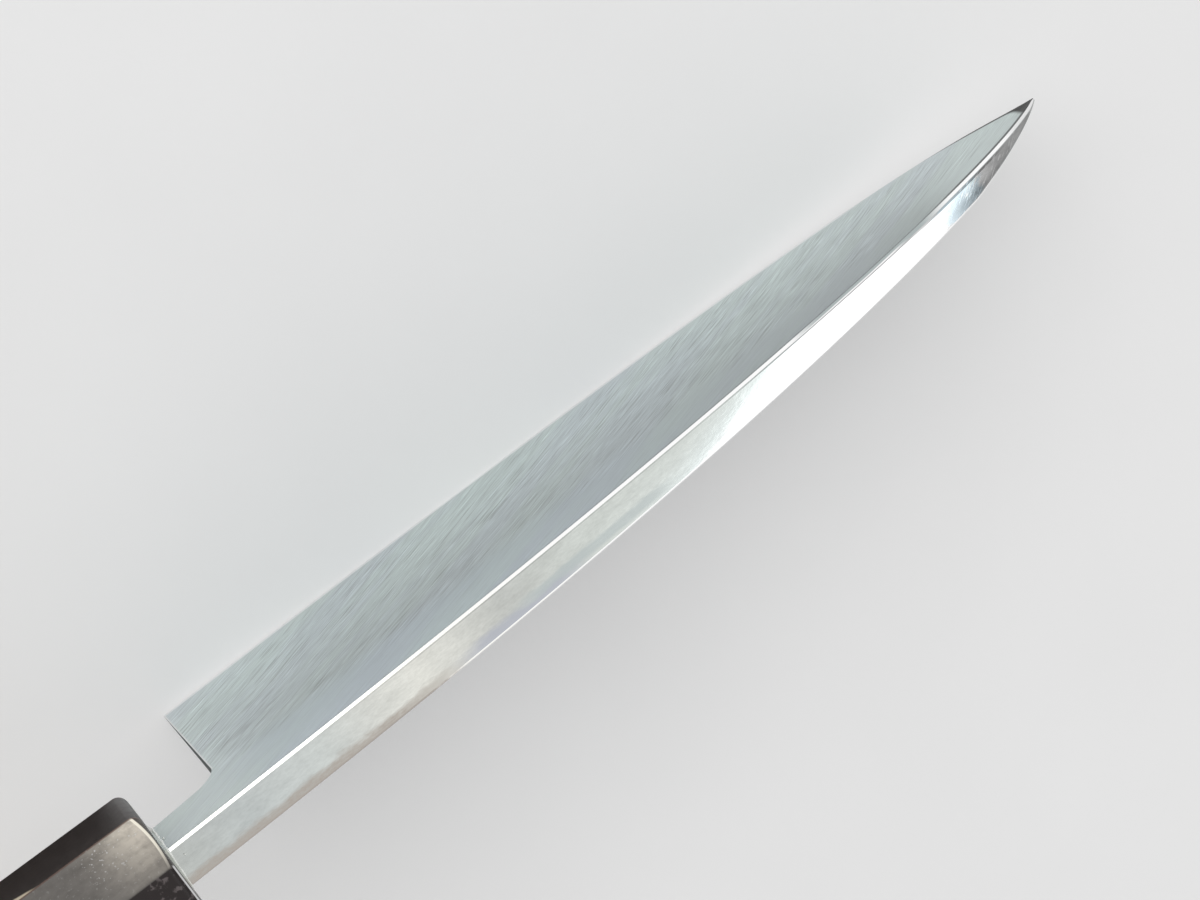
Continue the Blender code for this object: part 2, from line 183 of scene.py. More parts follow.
def blade_ring(x):
    """A slice of the blade at x: its points from the edge up the back and down the front,
    and for each stretch between two points the surface that it belongs to."""
    low, top = edge_at(x), spine_at(x)
    height = top - low
    wide = thickness(x, top)
    chamfer = min(CHAMFER_WIDTH, CHAMFER_SHARE * wide)
    drop = min(chamfer_drop(x), DROP_SHARE * height)
    radius = min(FAR_CORNER_RADIUS, RADIUS_SHARE * wide, DROP_SHARE * height)
    rim = min(HOLLOW_RIM, RIM_SHARE * height)
    ring, surfaces = [(BACK_Y, low)], [BACK]
    for share in np.linspace(0.0, 1.0, HOLLOW_STEPS):
        z = low + rim + share * (height - drop - 2 * rim)
        ring.append((BACK_Y - 4 * hollow_depth(x) * share * (1 - share), z))
        surfaces.append(BACK)
    ring.append((BACK_Y, top - drop))
    surfaces.append(CHAMFER)
    for share in np.linspace(0.0, 1.0, SPINE_STEPS):
        crown = min(SPINE_CROWN, CROWN_SHARE * wide) * (2 * share - 1) ** 2
        ring.append((BACK_Y - chamfer - share * (wide - chamfer - radius), top - crown))
        surfaces.append(SPINE)
    surfaces[-1] = CHAMFER
    front_top = top - crown - radius
    for angle in np.linspace(0.0, math.pi / 2, CORNER_STEPS)[1:-1]:
        across, down = radius * (1 - math.sin(angle)), radius * (1 - math.cos(angle))
        ring.append((BACK_Y - wide + across, top - crown - down))
        surfaces.append(CHAMFER)
    bevel_top = low + (flat_thickness(x, low) - EDGE_LAND) / (bevel_slope(x) - SIDE_TAPER)
    ridge = min(bevel_top, low + RIDGE_SHARE * (front_top - low))
    for share in np.linspace(0.0, 1.0, FLAT_STEPS):
        z = front_top + share * (ridge - front_top)
        ring.append((BACK_Y - thickness(x, z), z))
        surfaces.append(FLAT if bevel_top < front_top else BEVEL)
    surfaces[-1] = BEVEL
    micro = min(MICRO_BEVEL, RIM_SHARE * height)
    for share in np.linspace(0.0, 1.0, BEVEL_STEPS)[1:]:
        z = ridge + share * (low + micro - ridge)
        ring.append((BACK_Y - thickness(x, z), z))
        surfaces.append(BEVEL)
    ring.append((BACK_Y - EDGE_SHARP, low))
    surfaces.append(BEVEL)
    return [Vector((x, y, z)) for y, z in ring], surfaces


def piece_from(bm, name):
    """A new object in the scene from a bmesh, with its faces pointing out."""
    bmesh.ops.recalc_face_normals(bm, faces=bm.faces)
    mesh = bpy.data.meshes.new(name)
    bm.to_mesh(mesh)
    bm.free()
    piece = bpy.data.objects.new(name, mesh)
    bpy.context.scene.collection.objects.link(piece)
    return piece


def loft(name, rings, surfaces, end_surface):
    """A closed solid through rings of as many points each. surfaces has one entry for each side."""
    bm = bmesh.new()
    rows = [[bm.verts.new(point) for point in ring] for ring in rings]
    for near, far in zip(rows, rows[1:]):
        for i, surface in enumerate(surfaces):
            j = (i + 1) % len(near)
            bm.faces.new((near[i], near[j], far[j], far[i])).material_index = surface
    for row in (rows[0], rows[-1]):
        bm.faces.new(row).material_index = end_surface
    return piece_from(bm, name)


def settle(piece):
    """The piece's modifiers become plain mesh."""
    bpy.context.view_layer.update()
    graph = bpy.context.evaluated_depsgraph_get()
    shown = piece.evaluated_get(graph)
    mesh = bpy.data.meshes.new_from_object(shown, preserve_all_data_layers=True, depsgraph=graph)
    piece.modifiers.clear()
    piece.data = mesh


def carve(piece, operation, *cutters):
    """Booleans with other solids, each made plain mesh at once, after which the solid is removed."""
    for cutter in cutters:
        boolean = piece.modifiers.new(cutter.name, "BOOLEAN")
        boolean.operation = operation
        boolean.object = cutter
        settle(piece)
        bpy.data.objects.remove(cutter)


def finished(piece, node, crease):
    """Shade the piece, move it to where the CAD has the knife, and let it stand for its CAD node."""
    piece.data.transform(Matrix.Translation(PLACE))
    piece.data.shade_smooth()
    piece.data.set_sharp_from_angle(angle=crease)
    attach(piece, "root")
    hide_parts(node)


def notch_prism():
    """The waste behind the heel and under the neck, with the fillet between them."""
    back, below = -2 * NECK_IN_FERRULE, -1.5 * HEEL_DEPTH
    neck_low = SPINE_HEIGHT - NECK_HEIGHT
    fall, lean = math.tan(NECK_FALL), math.tan(HEEL_LEAN)
    arc_top = neck_low - NOTCH_RADIUS / math.cos(NECK_FALL)
    arc_x = NECK_LENGTH + lean * (HEEL_DEPTH + arc_top) - NOTCH_RADIUS / math.cos(HEEL_LEAN)
    arc_x /= 1 + lean * fall
    turn = np.linspace(90 - math.degrees(NECK_FALL), -math.degrees(HEEL_LEAN), 25)
    arc = [arm((arc_x, arc_top - fall * arc_x), NOTCH_RADIUS, degrees) for degrees in turn]
    heel_end = (NECK_LENGTH + lean * (HEEL_DEPTH + below), below)
    outline = [(back, neck_low), (0.0, neck_low), *arc, heel_end, (back, below)]
    rings = [[(x, y, z) for x, z in outline] for y in (-4 * BACK_Y, 4 * BACK_Y)]
    return loft("notch", rings, [CUT_END] * len(outline), CUT_END)


def weld_space(name):
    """Everything on the back side of the weld, whose surface wavers a little along the blade."""
    rings = []
    for x in np.linspace(STEEL_START, TIP_X + NECK_LENGTH, 160):
        long_wave = WELD_WAVE * noise.noise((x / (9 * MM), 0, 0))
        wave = long_wave + 0.4 * WELD_WAVE * noise.noise((x / (3 * MM), 5, 0))
        high, low = 3 * SPINE_HEIGHT, -1.5 * HEEL_DEPTH
        weld = [(x, BACK_Y - STEEL_AT_AXIS + STEEL_FLARE * z + wave * (z < 0), z) for z in (high, low)]
        rings.append([(x, 3 * BACK_Y, low), (x, 3 * BACK_Y, high), *weld])
    return loft(name, rings, [CUT_END] * 4, CUT_END)


def ease_notch(piece):
    """Break the sharp corners round the heel and the notch, as a file does."""
    bm = bmesh.new()
    bm.from_mesh(piece.data)
    corners = [edge for edge in bm.edges if len(edge.link_faces) == 2
               and {face.material_index == CUT_END for face in edge.link_faces} == {True, False}
               and edge.calc_face_angle() > NOTCH_CORNER
               and min(vert.co.x for vert in edge.verts) > 0]
    bmesh.ops.bevel(bm, geom=corners, offset=NOTCH_EASE, segments=2, profile=0.5, affect="EDGES",
                    clamp_overlap=True, material=CHAMFER)
    bm.to_mesh(piece.data)
    bm.free()


def measure(piece):
    """Note each corner's height over the edge and its depth under the chamfer, for the finishes."""
    corners = [vert.co for vert in piece.data.vertices]
    over_edge = [corner.z - edge_at(corner.x) for corner in corners]
    under_chamfer = [spine_at(corner.x) - chamfer_drop(corner.x) - corner.z for corner in corners]
    for name, values in (("over_edge", over_edge), ("under_chamfer", under_chamfer)):
        piece.data.attributes.new(name, "FLOAT", "POINT").data.foreach_set("value", values)


class Socket:
    """An output of a node. Python's operators on it add Math nodes to its tree."""

    def __init__(self, graph, socket):
        self.graph = graph
        self.socket = socket

    def __add__(self, other):
        return self.graph.maths("ADD", self, other)

    def __sub__(self, other):
        return self.graph.maths("SUBTRACT", self, other)

    def __rsub__(self, other):
        return self.graph.maths("SUBTRACT", other, self)

    def __mul__(self, other):
        return self.graph.maths("MULTIPLY", self, other)

    def __truediv__(self, other):
        return self.graph.maths("DIVIDE", self, other)

    def __pow__(self, other):
        return self.graph.maths("POWER", self, other)

    __radd__ = __add__
    __rmul__ = __mul__


class Graph:
    """A node tree under construction."""

    def __init__(self, tree):
        self.tree = tree

    def node(self, kind, settings=None, inputs=None, output=0):
        """Add a node, with its settings first and then the values or links of its sockets."""
        node = self.tree.nodes.new(kind)
        for name, value in (settings or {}).items():
            if name == "stops":
                set_stops(node.color_ramp, value)
            else:
                setattr(node, name, value)
        for name, value in (inputs or {}).items():
            self.feed(node.inputs[name], value)
        return Socket(self, node.outputs[output])

    def feed(self, target, value):
        if isinstance(value, Socket):
            self.tree.links.new(value.socket, target)
        else:
            target.default_value = value

    def maths(self, operation, *values, clamp=False):
        settings = {"operation": operation, "use_clamp": clamp}
        return self.node("ShaderNodeMath", settings, dict(enumerate(values)))

    def step(self, value, start, end):
        """0 below start and 1 above end, or the other way round if end is the lower one."""
        settings = {"interpolation_type": "SMOOTHSTEP"}
        bounds = {0: value, 1: min(start, end), 2: max(start, end)}
        risen = self.node("ShaderNodeMapRange", settings, bounds)
        return risen if end > start else 1 - risen

    def band(self, value, start, end, soft):
        """1 from start to end, and down to 0 over soft on either side."""
        return self.step(value, start - soft, start) * self.step(value, end + soft, end)

    def vector(self, x, y, z):
        return self.node("ShaderNodeCombineXYZ", None, {0: x, 1: y, 2: z})

    def parts_of(self, vector):
        return [self.node("ShaderNodeSeparateXYZ", None, {0: vector}, i) for i in range(3)]

    def mix(self, low, high, factor, blend="MIX"):
        settings = {"data_type": "RGBA", "blend_type": blend}
        return self.node("ShaderNodeMix", settings, {0: factor, 6: low, 7: high}, 2)

    def noise(self, vector, detail=2.0, roughness=0.5, distortion=0.0):
        """Clouds as large as one unit of the vector."""
        inputs = {"Vector": vector, "Scale": 1.0, "Detail": detail, "Roughness": roughness,
                  "Distortion": distortion}
        return self.node("ShaderNodeTexNoise", None, inputs)


def set_stops(ramp, stops):
    """stops is a list of (place, colour)."""
    while len(ramp.elements) < len(stops):
        ramp.elements.new(0.5)
    for element, (place, colour) in zip(ramp.elements, stops):
        element.position = place
        element.color = colour


def grey(value, tint=(1.0, 1.0, 1.0)):
    return tuple(value * part for part in tint) + (1.0,)


class Finish(Graph):
    """A material under construction, with places measured in the knife's own frame."""

    def __init__(self, name, **constants):
        self.material = bpy.data.materials.new(name)
        self.material.use_nodes = True
        super().__init__(self.material.node_tree)
        self.surface = self.tree.nodes["Principled BSDF"]
        for socket, value in constants.items():
            self.surface.inputs[socket.replace("_", " ")].default_value = value
        objects = self.node("ShaderNodeTexCoord", None, None, 3)
        own = {0: objects, 1: tuple(-part for part in PLACE)}
        self.point = self.node("ShaderNodeVectorMath", {"operation": "ADD"}, own)
        self.x, self.y, self.z = self.parts_of(self.point)

    def attribute(self, name):
        return self.node("ShaderNodeAttribute", {"attribute_name": name}, None, 2)

    def clouds(self, size, detail=2.0, **more):
        """Clouds of that size in metres, in every direction."""
        spread = self.node("ShaderNodeVectorMath", {"operation": "SCALE"}, {0: self.point, 3: 1 / size})
        return self.noise(spread, detail, **more)

    def strokes(self, degrees, length, width, seed=0.0, detail=2.0):
        """Clouds drawn out along a direction in the XZ plane, as a stone or a belt leaves them."""
        turn = math.radians(degrees)
        along = self.x * math.cos(turn) + self.z * math.sin(turn)
        across = self.z * math.cos(turn) - self.x * math.sin(turn)
        return self.noise(self.vector(along / length, self.y / width + seed, across / width), detail)

    def done(self, colour, roughness, height=None, depth=0.0):
        """Wire up the surface. height is 0 to 1, over that depth in metres."""
        self.feed(self.surface.inputs["Base Color"], colour)
        self.feed(self.surface.inputs["Roughness"], roughness)
        if height:
            bump = self.node("ShaderNodeBump", None, {"Distance": depth, "Height": height})
            self.feed(self.surface.inputs["Normal"], bump)
        return self.material


STEEL_TINT = (0.90, 1.0, 1.0)
BLUE_TINT = (0.885, 1.0, 1.04)
BACK_STROKE_ANGLE = -36.0

# How light the hollow back is, and its tint, from the edge up to the chamfer: at the heel, and
# towards the tip. These levels are a painted reflection of the table and room: lighter by the
# edge, darker towards the chamfer, and bluish there at the heel.
BACK_LEVELS_BEHIND = [(0.0, 0.655, STEEL_TINT), (0.2, 0.655, STEEL_TINT), (0.35, 0.61, STEEL_TINT),
                      (0.5, 0.56, STEEL_TINT), (0.65, 0.51, STEEL_TINT), (0.78, 0.55, BLUE_TINT),
                      (1.0, 0.585, BLUE_TINT)]
BACK_LEVELS_AHEAD = [(0.0, 0.68, STEEL_TINT), (0.2, 0.67, STEEL_TINT), (0.35, 0.62, STEEL_TINT),
                     (0.65, 0.53, STEEL_TINT), (0.8, 0.48, STEEL_TINT), (1.0, 0.43, STEEL_TINT)]


def back_level(steel, levels, up):
    """The hollow back's colour, painted reflection included, at a share of the way up it."""
    stops = [(place, grey(level, tint)) for place, level, tint in levels]
    return steel.node("ShaderNodeValToRGB", {"stops": stops}, {"Fac": up})


def painted_edge_highlight(steel, over_edge):
    """Where a painted highlight lies on the rim that meets the stone: up the heel and along the edge."""
    from_heel = steel.x - NECK_LENGTH - math.tan(HEEL_LEAN) * (HEEL_DEPTH + steel.z)
    heel_rim = steel.step(from_heel, 0.30 * MM, 0.14 * MM) * steel.step(steel.z, -13.5 * MM, -15 * MM)
    edge_rim = steel.step(over_edge, 0.85 * MM, 0.35 * MM) * steel.step(steel.x, 150 * MM, 140 * MM)
    return steel.maths("MAXIMUM", heel_rim, edge_rim)


def painted_dark_rim(steel, over_edge, under_chamfer):
    """Where the rim is black, a painted dark reflection: in a hairline under the chamfer, and all over at
    the tip.
    """
    toward_tip = steel.step(steel.x, 145 * MM, 158 * MM)
    depth = 0.14 + 0.28 * steel.step(steel.x, 40 * MM, 115 * MM) + 0.45 * toward_tip
    hairline = steel.step(under_chamfer - 0.35 * MM * toward_tip, 0.65 * MM, 0.3 * MM) * depth
    over_rim = over_edge + 0.3 * MM - 1.3 * MM * steel.step(steel.x, 150 * MM, 171 * MM)
    to_light = steel.maths("SMOOTH_MIN", over_rim, (TIP_X - 3.9 * MM - steel.x) * 0.8, 2.2 * MM)
    return steel.maths("MAXIMUM", hairline, steel.step(to_light, 0.15 * MM, -0.65 * MM))


def back_finish():
    """The hollow back: satin, with diagonal grinding lines that fade out under the spine and at
    the tip, its levels a painted reflection, and a polished rim shown as a painted highlight along
    the heel and the edge and as a painted dark reflection under the chamfer and at the tip."""
    steel = Finish("hollow_ground_back", Specular_IOR_Level=0.1)
    over_edge, under_chamfer = steel.attribute("over_edge"), steel.attribute("under_chamfer")
    up = over_edge / (over_edge + under_chamfer)
    coarse = steel.strokes(BACK_STROKE_ANGLE, 9 * MM, 0.42 * MM)
    fine = steel.strokes(BACK_STROKE_ANGLE, 4.5 * MM, 0.15 * MM, seed=7.0)
    light = steel.step(steel.strokes(BACK_STROKE_ANGLE + 1.5, 5 * MM, 0.24 * MM, 17.0, 0.0), 0.60, 0.72)
    dark = steel.step(steel.strokes(BACK_STROKE_ANGLE - 1.5, 8 * MM, 0.24 * MM, 27.0, 0.0), 0.60, 0.72)
    broad = steel.strokes(BACK_STROKE_ANGLE, 50 * MM, 6 * MM, seed=3.0)
    ground = steel.step(up + (broad - 0.5) * 0.3, 0.80, 0.66)
    ground = ground * (1 - 0.5 * steel.step(steel.x, 120 * MM, 165 * MM))
    lines = (coarse - 0.5) * 0.45 + (fine - 0.5) * 0.75 + 0.18 * light - 0.26 * dark
    lines = lines * (0.35 + 0.65 * steel.step(over_edge, 0.6 * MM, 4 * MM))
    behind, ahead = (back_level(steel, levels, up) for levels in (BACK_LEVELS_BEHIND, BACK_LEVELS_AHEAD))
    # Painted reflection: the levels change along the blade, and are lighter by the heel and at the tip
    level = steel.mix(behind, ahead, steel.step(steel.x, 50 * MM, 130 * MM))
    level = steel.mix(level, grey(0.65, STEEL_TINT), steel.step(steel.x, 24 * MM, 10 * MM))
    level = steel.mix(level, grey(0.67, STEEL_TINT), steel.step(steel.x, 147 * MM, 160 * MM) * 0.85)
    amount = 1 + lines * (0.3 + 0.7 * ground) + (broad - 0.5) * 0.14
    amount = amount + 0.07 * steel.step(steel.x, 45 * MM, 20 * MM)
    colour = steel.mix(level, amount, 1.0, "MULTIPLY")
    hue = steel.mix((1.0, 0.99, 1.02, 1), (0.99, 1.0, 0.985, 1), steel.step(broad, 0.35, 0.6))
    colour = steel.mix(colour, hue, 1.0, "MULTIPLY")
    # Painted highlight along the heel and the edge
    colour = steel.mix(colour, grey(0.88), painted_edge_highlight(steel, over_edge) * 0.8)
    # Painted dark reflection: black and not metal in a hairline under the chamfer and at the tip
    black = painted_dark_rim(steel, over_edge, under_chamfer)
    steel.feed(steel.surface.inputs["Metallic"], 1 - black)
    colour = steel.mix(colour, grey(0.02), black)
    return steel.done(colour, 0.32 + 0.08 * (coarse - 0.5), lines + 0.5, 0.003 * MM)


def chamfer_finish():
    """The broken corners of the spine, polished bright. Short of the tip the near one is painted
    darker, a painted reflection of a darker room, first in its lower half, then all over, and
    from there on in its upper part. The far one has a brown stain behind."""
    steel = Finish("polished_chamfer", Metallic=1.0)
    wobble = steel.noise(steel.vector(steel.x / (12 * MM), 0.0, 0.0), 1.0) - 0.5
    under = steel.attribute("under_chamfer")
    lower = steel.step(under + wobble * 0.1 * MM, -0.24 * MM, -0.16 * MM)
    whole = steel.maths("MAXIMUM", lower, steel.step(steel.x, 139 * MM, 144 * MM))
    inner = steel.step(under, -0.30 * MM, -0.38 * MM) * steel.step(steel.x, 147 * MM, 152 * MM) * 0.6
    near, far = steel.step(steel.y, 0.0, MM), steel.step(steel.y, 0.0, -MM)
    bright = steel.mix((0.97, 0.96, 0.90, 1), grey(0.97), steel.step(steel.x, 20 * MM, 90 * MM))
    # Painted reflection of a darker room: the near chamfer darkened short of the tip
    painted_dark_stretch = steel.maths("MAXIMUM", whole * steel.band(steel.x, 125 * MM, 146 * MM, 8 * MM), inner)
    colour = steel.mix(bright, grey(0.46, STEEL_TINT), near * painted_dark_stretch)
    smears = steel.noise(steel.vector(steel.x / (2 * MM), 0.0, 0.0), 3.0)
    stain = far * steel.step(steel.x + smears * 8 * MM, 56 * MM, 48 * MM)
    colour = steel.mix(colour, (0.36, 0.32, 0.29, 1), stain * 0.9)
    return steel.done(colour, 0.12 + 0.06 * smears, smears, 0.001 * MM)


# Along the spine, in millimetres from the ferrule: how light it is, and its red and blue as
# shares of that. The levels are a painted reflection: darker and warmer behind, where the spine
# is also hazy, a painted highlight in the middle, and darker and uneven at the tip.
SPINE_LEVELS = [(0, 0.50, 0.96, 0.96), (12, 0.53, 0.94, 0.99), (26, 0.62, 0.95, 0.97),
                (35, 0.655, 0.985, 0.945), (44, 0.75, 1.0, 0.93), (60, 0.54, 0.975, 0.955),
                (74, 0.63, 0.95, 0.95), (90, 0.69, 0.945, 0.96), (102, 0.72, 0.93, 0.985),
                (108, 0.88, 0.97, 1.0), (114, 0.97, 1.0, 1.0), (149, 0.92, 1.0, 1.0),
                (155, 0.60, 1.0, 1.0), (160, 0.62, 1.0, 1.0), (164, 0.54, 1.0, 1.0),
                (168, 0.66, 1.0, 1.0), (177, 0.60, 1.0, 0.99)]


def spine_wear_and_painted_light(steel, smears, grain, hazy):
    """How the spine is lightened or darkened: smears and grain of wear, a lighter near side at the
    tip, painted shade in a line along the near corner and a painted dark line there at the tip,
    and scratches near the tip made bright as a painted highlight."""
    tip_end = steel.step(steel.x, 150 * MM, 160 * MM)
    amount = 1 + (smears - 0.5) * (0.15 + 0.3 * hazy + 0.9 * tip_end)
    amount = amount + (grain - 0.5) * (0.22 * hazy + 0.3 * tip_end)
    near_side = steel.step(steel.y + (smears - 0.5) * MM, 0.3 * MM, 2.5 * MM)
    amount = amount + 0.8 * (near_side - 0.25) * steel.band(steel.x, 157 * MM, 163 * MM, 7 * MM)
    inward = BACK_Y - CHAMFER_WIDTH - steel.y
    # Painted shade: a darker line along the near corner, short of the tip
    painted_shade_line = steel.band(inward, 0.03 * MM, 0.18 * MM, 0.07 * MM)
    depth = 0.2 * steel.step(steel.x, 20 * MM, 50 * MM) + 0.45 * steel.step(steel.x, 100 * MM, 118 * MM)
    amount = amount * (1 - painted_shade_line * depth * steel.step(steel.x, 150 * MM, 142 * MM))
    # Painted dark reflection in a line along the near corner at the tip
    painted_dark_line = steel.band(inward, -0.04 * MM, 0.33 * MM, 0.06 * MM)
    painted_dark_line = painted_dark_line * steel.band(steel.x, 150 * MM, 160 * MM, 9 * MM)
    amount = amount * (1 - 0.62 * painted_dark_line)
    # The scratches are real; their brightness is a painted highlight
    slant = steel.vector((steel.x + steel.y) / (3 * MM), (steel.x - 2 * steel.y) / (0.6 * MM), 4.0)
    scratches = steel.step(steel.noise(slant, 1.0, 0.5, 0.6), 0.60, 0.68)
    return amount * (1 + 0.85 * scratches * steel.band(steel.x, 157 * MM, 168 * MM, 5 * MM))


def stained_spine(steel, colour, smears, grain):
    """The colour with brown, blue and grey stains on it, one after the other along the far side,
    and with a faint blue temper colour short of the tip."""
    far_side = steel.step(steel.y + (smears - 0.5) * 2.4 * MM, -1.2 * MM, -2.3 * MM)
    stain = far_side * steel.step(steel.x, 56 * MM, 36 * MM) * (0.4 + 0.8 * grain)
    colour = steel.mix(colour, (0.41, 0.37, 0.33, 1), stain)
    blued = steel.step(steel.y + (smears - 0.5) * 2.4 * MM, -0.7 * MM, -2.1 * MM)
    blued = blued * steel.band(steel.x, 55 * MM, 68 * MM, 8 * MM)
    colour = steel.mix(colour, (0.45, 0.47, 0.53, 1), blued * 0.8)
    drift = steel.band(steel.y + (smears - 0.5) * 1.4 * MM, -1.6 * MM, -0.9 * MM, 0.7 * MM)
    drift = drift * steel.band(steel.x, 66 * MM, 86 * MM, 7 * MM)
    colour = steel.mix(colour, (0.47, 0.52, 0.52, 1), drift * 0.7)
    temper = steel.band(steel.x + (smears - 0.5) * 14 * MM, 152 * MM, 158 * MM, 3 * MM)
    return steel.mix(colour, (0.86, 1.0, 1.08, 1), temper, "MULTIPLY")


def spine_finish():
    """The spine: polished, with a haze behind, a painted reflection along it whose highlight in the
    middle starts on a slant, and with wear and stains.
    """
    steel = Finish("polished_spine", Metallic=1.0)
    smears = steel.noise(steel.vector(steel.x / (6 * MM), steel.y / (2.0 * MM), 0.0), 5.0, 0.65)
    grain = steel.noise(steel.vector(steel.x / (0.9 * MM), steel.y / (0.35 * MM), 9.0), 2.0)
    hazy = steel.step(steel.x, 110 * MM, 84 * MM)
    # The painted highlight in the middle starts on a slant across the spine
    slanted = steel.x - 4 * steel.y * steel.band(steel.x, 92 * MM, 122 * MM, 26 * MM)
    stops = [(x * MM / TIP_X, (red * level, level, blue * level, 1.0))
             for x, level, red, blue in SPINE_LEVELS]
    level = steel.node("ShaderNodeValToRGB", {"stops": stops}, {"Fac": slanted / TIP_X})
    colour = steel.mix(level, spine_wear_and_painted_light(steel, smears, grain, hazy), 1.0, "MULTIPLY")
    colour = stained_spine(steel, colour, smears, grain)
    return steel.done(colour, 0.11 + 0.10 * smears * hazy, smears, 0.04 * MM)


FRONT_TINT = (0.97, 0.99, 1.0)


def flat_finish():
    """The flat of the front face, ground along the blade."""
    steel = Finish("ground_flat", Metallic=1.0)
    coarse = steel.strokes(4.0, 30 * MM, 0.22 * MM, seed=11.0)
    fine = steel.strokes(2.0, 12 * MM, 0.1 * MM, seed=12.0)
    tone = 0.5 + (coarse - 0.5) * 0.7 + (fine - 0.5) * 0.4
    colour = steel.mix(grey(0.44, FRONT_TINT), grey(0.66, FRONT_TINT), tone)
    return steel.done(colour, 0.28 + 0.1 * (coarse - 0.5), coarse * 0.6 + fine * 0.4, 0.004 * MM)


def bevel_finish(name, dark, light, roughness, haze):
    """A bevel straight from the stone, whose short strokes run across it. haze is how cloudy it is."""
    steel = Finish(name, Metallic=1.0)
    strokes = steel.strokes(62.0, 6 * MM, 0.09 * MM, seed=20.0)
    clouds = steel.clouds(5 * MM, 4.0, roughness=0.6)
    tone = 0.5 + (strokes - 0.5) * 0.5 + (clouds - 0.5) * haze
    colour = steel.mix(grey(dark, FRONT_TINT), grey(light, FRONT_TINT), tone)
    return steel.done(colour, roughness + 0.12 * (clouds - 0.5), strokes, 0.003 * MM)


def cut_finish():
    """The heel's end and the notch: filed and left matt, their dark colour a painted reflection of dark
    surroundings.
    """
    steel = Finish("filed_ends_painted_dark", Metallic=1.0, Specular_Tint=grey(0.25))
    lines = steel.strokes(90.0, 8 * MM, 0.15 * MM, seed=30.0)
    # Painted dark reflection
    colour = steel.mix(grey(0.12, STEEL_TINT), grey(0.26, STEEL_TINT), lines)
    return steel.done(colour, 0.4, lines, 0.004 * MM)


def tang_finish():
    """The tang, under the black scale that the forge left on it."""
    scale = Finish("forge_scale", Metallic=0.6)
    clouds = scale.clouds(2 * MM, 4.0)
    colour = scale.mix((0.02, 0.018, 0.017, 1), (0.10, 0.085, 0.075, 1), clouds)
    return scale.done(colour, 0.7, clouds, 0.05 * MM)


# The slices lie closer together towards the tip
NECK_SLICES, BLADE_SLICES, CROWDING = 13, 200, 1.5
to_tip = np.linspace(1.0, 0.0, BLADE_SLICES + 1)[1:] ** CROWDING
stations = np.concatenate([np.linspace(-NECK_IN_FERRULE, NECK_LENGTH, NECK_SLICES),
                           NECK_LENGTH + (TIP_X - NECK_LENGTH) * (1 - to_tip)])
finishes = [back_finish(), chamfer_finish(), spine_finish(), flat_finish(),
            bevel_finish("hazy_iron_bevel", 0.40, 0.56, 0.42, 0.5), cut_finish(), tang_finish()]


def blade_blank(name):
    """Both layers in one block, with the notch cut and its corners broken."""
    slices = [blade_ring(x) for x in stations]
    surfaces_of_most_slices = slices[len(slices) // 3][1]
    blank = loft(name, [ring for ring, _ in slices], surfaces_of_most_slices, CUT_END)
    for finish in finishes:
        blank.data.materials.append(finish)
    carve(blank, "DIFFERENCE", notch_prism())
    ease_notch(blank)
    return blank


def tang_ring(x, grow=0.0):
    """The tang's rectangle at x, larger by grow on every side."""
    share = (-NECK_IN_FERRULE - x) / (TANG_LENGTH - NECK_IN_FERRULE)
    share = min(1.0, max(0.0, share))
    width, height = (a + share * (b - a) for a, b in zip(TANG_AT_NECK, TANG_AT_END))
    half, low, high = width / 2 + grow, -TANG_DROP - height / 2 - grow, -TANG_DROP + height / 2 + grow
    return [(x, half, low), (x, half, high), (x, -half, high), (x, -half, low)]


iron = blade_blank("blade_body")
steel_layer = blade_blank("hard_steel_layer")
tang_places = (-TANG_LENGTH, -NECK_IN_FERRULE, -0.5 * NECK_IN_FERRULE)
carve(iron, "UNION", loft("tang", [tang_ring(x) for x in tang_places], [TANG] * 4, TANG))
carve(iron, "DIFFERENCE", weld_space("back_of_weld"))
carve(steel_layer, "INTERSECT", weld_space("weld_space"))
steel_layer.data.materials[BEVEL] = bevel_finish("bright_steel_bevel", 0.55, 0.72, 0.24, 0.25)
for piece, node, slot in ((iron, "blade_cladding", "soft_iron"), (steel_layer, "edge_steel", "hard_steel")):
    measure(piece)
    finished(piece, node, BLADE_CREASE)

# The ferrule
# Black buffalo horn with brown and grey streaks, sawn eight-sided, slotted for the neck, bored
# behind for the grip's tenon, and polished with its front rim rounded over.
FRONT_WIDTH, FRONT_HEIGHT = 22.2 * MM, 30.0 * MM
WIDTH_TAPER, HEIGHT_TAPER = 3.0 / 138, 3.0 / 138
HANDLE_LENGTH = 138.0 * MM
FERRULE_LENGTH = 28.0 * MM
FERRULE_RIM = 1.6 * MM
JOINT_RIM = 0.12 * MM
RIDGE_RADIUS = 0.5 * MM
FERRULE_WALL = 6.0 * MM
BORE_RADIUS = 8.0 * MM
RESIN_WALL = 0.9 * MM
SIDES = 8
RIM_STEPS = 8
RIDGE_STEPS = 4
BORE_SEGMENTS = 96
HANDLE_CREASE = math.radians(30.0)


